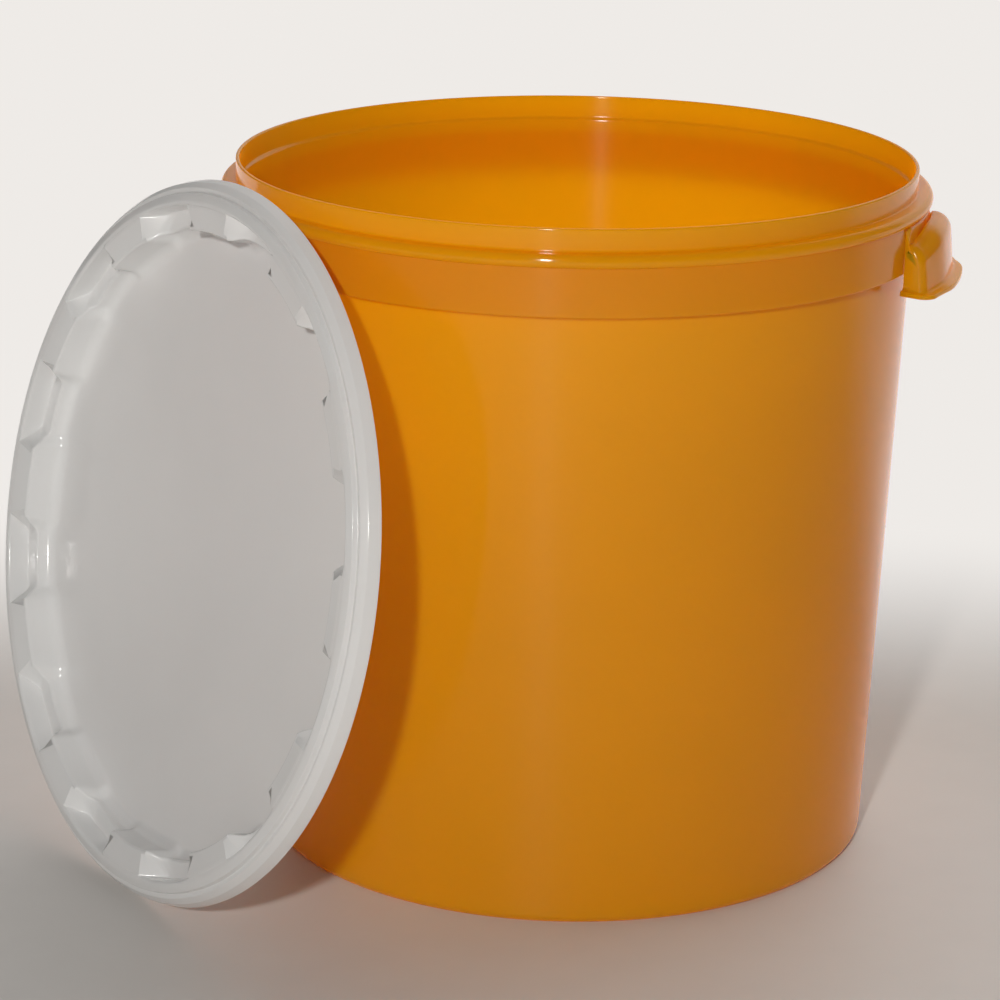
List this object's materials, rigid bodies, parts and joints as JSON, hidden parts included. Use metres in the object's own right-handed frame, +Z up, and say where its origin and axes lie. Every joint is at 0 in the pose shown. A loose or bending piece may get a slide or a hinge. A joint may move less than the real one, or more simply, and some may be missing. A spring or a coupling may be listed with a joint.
{
  "type": "pail",
  "caption": "Tapered open-topped plastic pail with a collared rim, fold-out side grips and a castellated snap lid leaning against it.",
  "frame": {"origin": "centre of the tub's flat base, on the floor", "axes": "+Z up along the tub's axis; the picture looks along +Y with +X to its right"},
  "size_m": [0.5346, 0.4674, 0.3805],
  "materials": {
    "pail_plastic": "glossy maize-yellow moulded plastic",
    "lid_plastic": "satin off-white moulded plastic"
  },
  "bodies": {
    "tub": {"tub": "pail_plastic"},
    "right_grip": {"right_grip": "pail_plastic"},
    "left_grip": {"left_grip": "pail_plastic"},
    "lid": {"lid": "lid_plastic"}
  },
  "joints": [
    {"name": "right_grip_hinge", "type": "hinge", "parent": "tub", "child": "right_grip", "pos_m": [0.18766, -0.03716, 0.36], "axis": [-0.1942, -0.981, 0], "range_deg": [0, 70]},
    {"name": "left_grip_hinge", "type": "hinge", "parent": "tub", "child": "left_grip", "pos_m": [-0.18766, 0.03716, 0.36], "axis": [0.1942, 0.981, 0], "range_deg": [0, 70]},
    {"name": "lid_slide", "type": "slide", "parent": "tub", "child": "lid", "axis": [-0.8241, -0.5664, 0], "range_m": [0, 0.25]}
  ]
}
